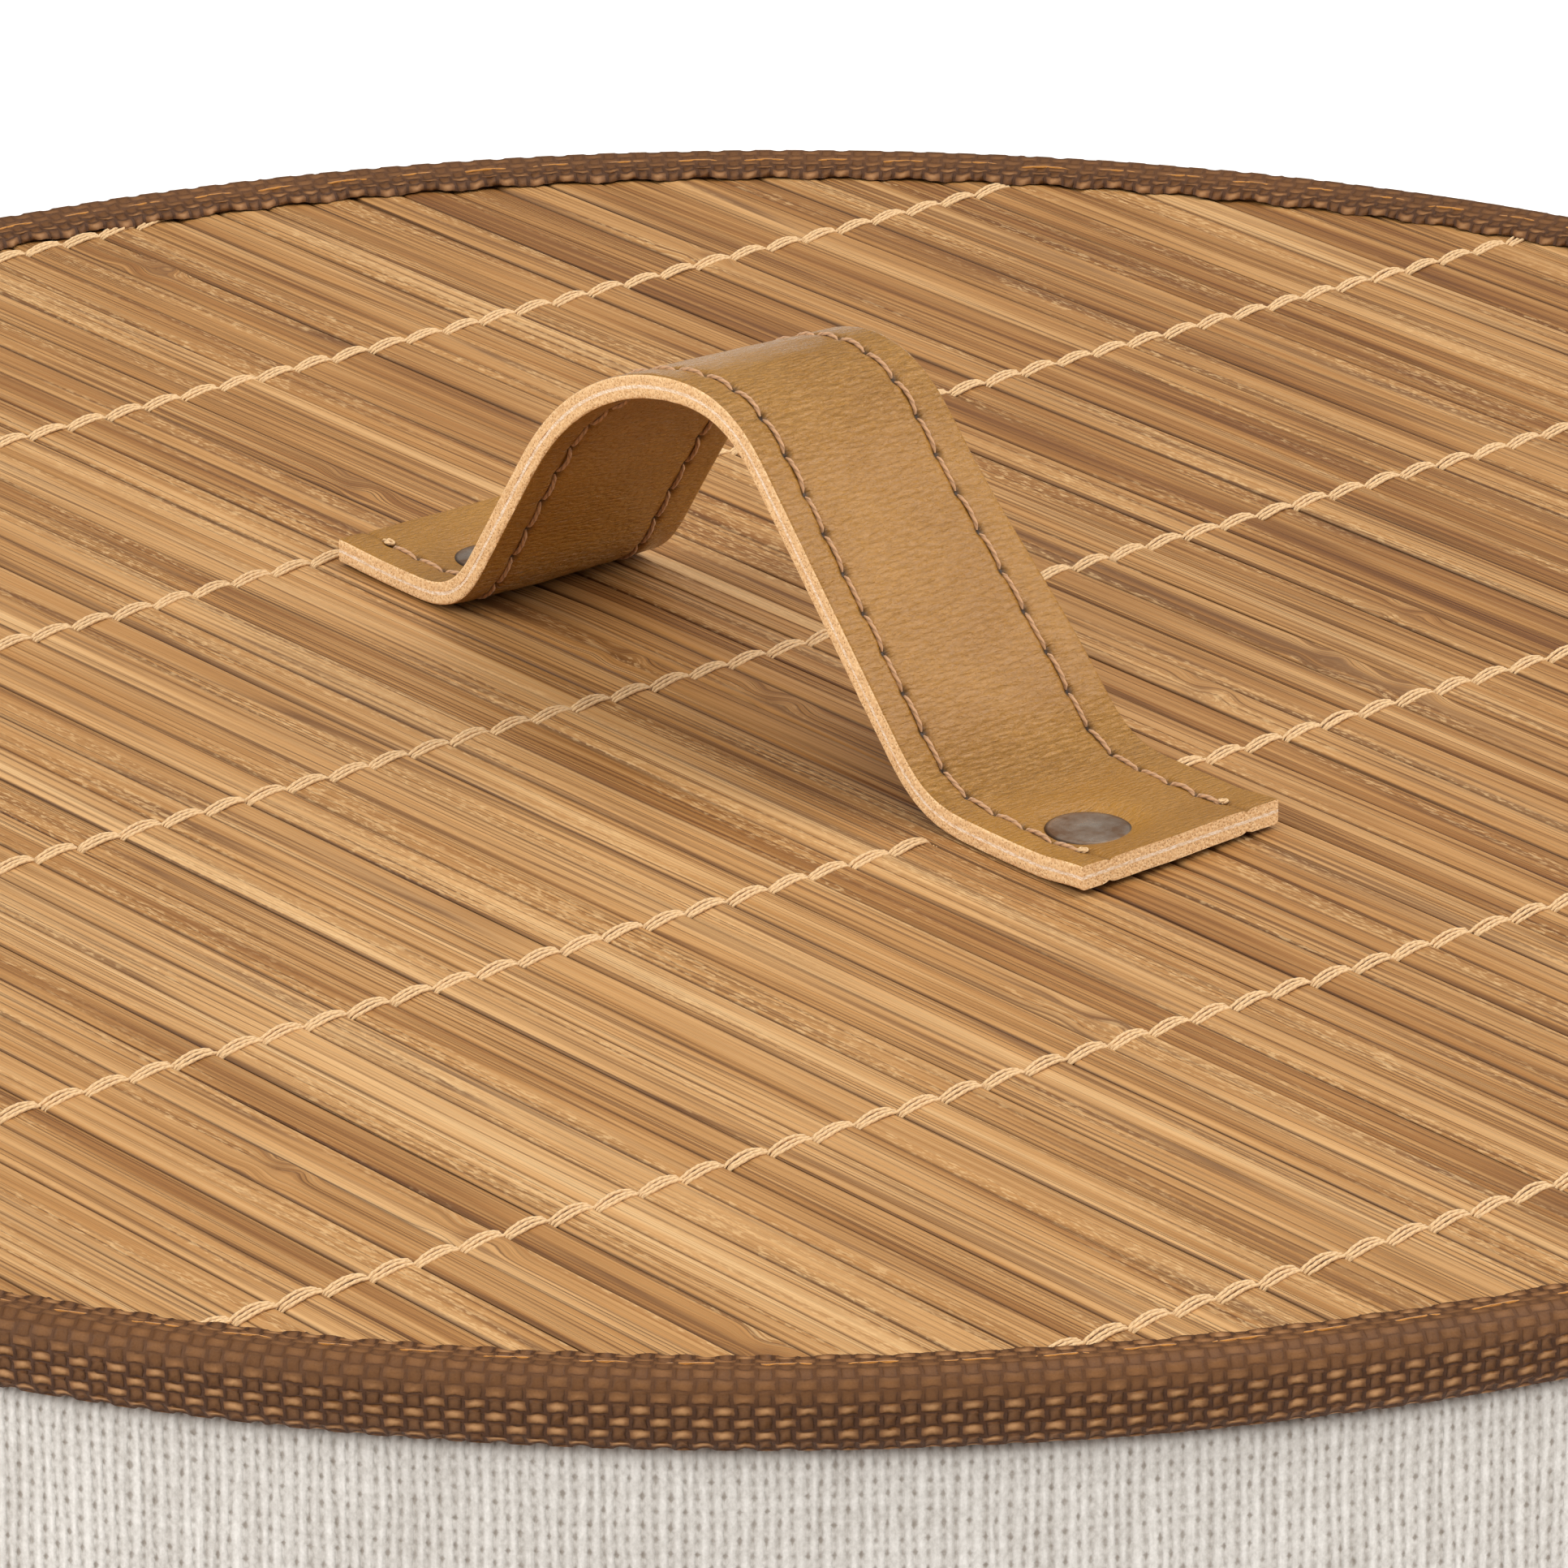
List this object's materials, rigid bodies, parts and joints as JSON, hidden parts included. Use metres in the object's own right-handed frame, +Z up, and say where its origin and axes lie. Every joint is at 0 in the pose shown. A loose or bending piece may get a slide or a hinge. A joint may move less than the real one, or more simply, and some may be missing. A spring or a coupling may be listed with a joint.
{
  "type": "fabric storage bin",
  "caption": "Round fabric storage bin with a stiff linen-look wall, leather side handles and a flat lift-off bamboo lid with a leather strap handle.",
  "frame": {"origin": "centre of the base, on the floor", "axes": "+Z up, X along the thread rows of the bamboo mat and through the side handles, Y along the slats and the lid strap"},
  "size_m": [0.3962, 0.34, 0.4749],
  "materials": {
    "linen_fabric": "off-white plain weave with slubs",
    "lining_fabric": "light grey-beige fine cotton",
    "fibreboard": "raw pressed fibre board",
    "steel_wire": "drawn wire",
    "brown_webbing": "brown basket-weave tape",
    "bamboo": "semi-matte toned bamboo slats",
    "cream_thread": "cream twisted thread",
    "caramel_leather": "satin grained caramel imitation leather",
    "strap_core": "off-white reinforcing web",
    "bronze": "antique bronze, worn"
  },
  "bodies": {
    "bin": {"outer_fabric": "linen_fabric", "wall_stiffener": "fibreboard", "inner_lining": "lining_fabric", "top_hoop": "steel_wire", "bottom_hoop": "steel_wire", "base_fabric": "linen_fabric", "base_board": "fibreboard", "base_lining": "lining_fabric", "base_binding": "brown_webbing", "left_handle_outer_layer": "caramel_leather", "left_handle_core": "strap_core", "left_handle_inner_layer": "caramel_leather", "right_handle_outer_layer": "caramel_leather", "right_handle_core": "strap_core", "right_handle_inner_layer": "caramel_leather", "side_rivets": "bronze", "side_rivet_backs": "bronze"},
    "lid": {"lid_board": "fibreboard", "lid_slats": "bamboo", "lid_mat_threads": "cream_thread", "lid_lining": "lining_fabric", "lid_binding": "brown_webbing", "lid_locating_ring": "fibreboard", "locating_ring_cover": "lining_fabric", "lid_handle_top_layer": "caramel_leather", "lid_handle_core": "strap_core", "lid_handle_bottom_layer": "caramel_leather", "lid_rivets": "bronze", "lid_rivet_backs": "bronze"}
  },
  "joints": [
    {"name": "lid_lift", "type": "slide", "parent": "bin", "child": "lid", "axis": [0, 0, 1], "range_m": [0, 0.25]}
  ]
}
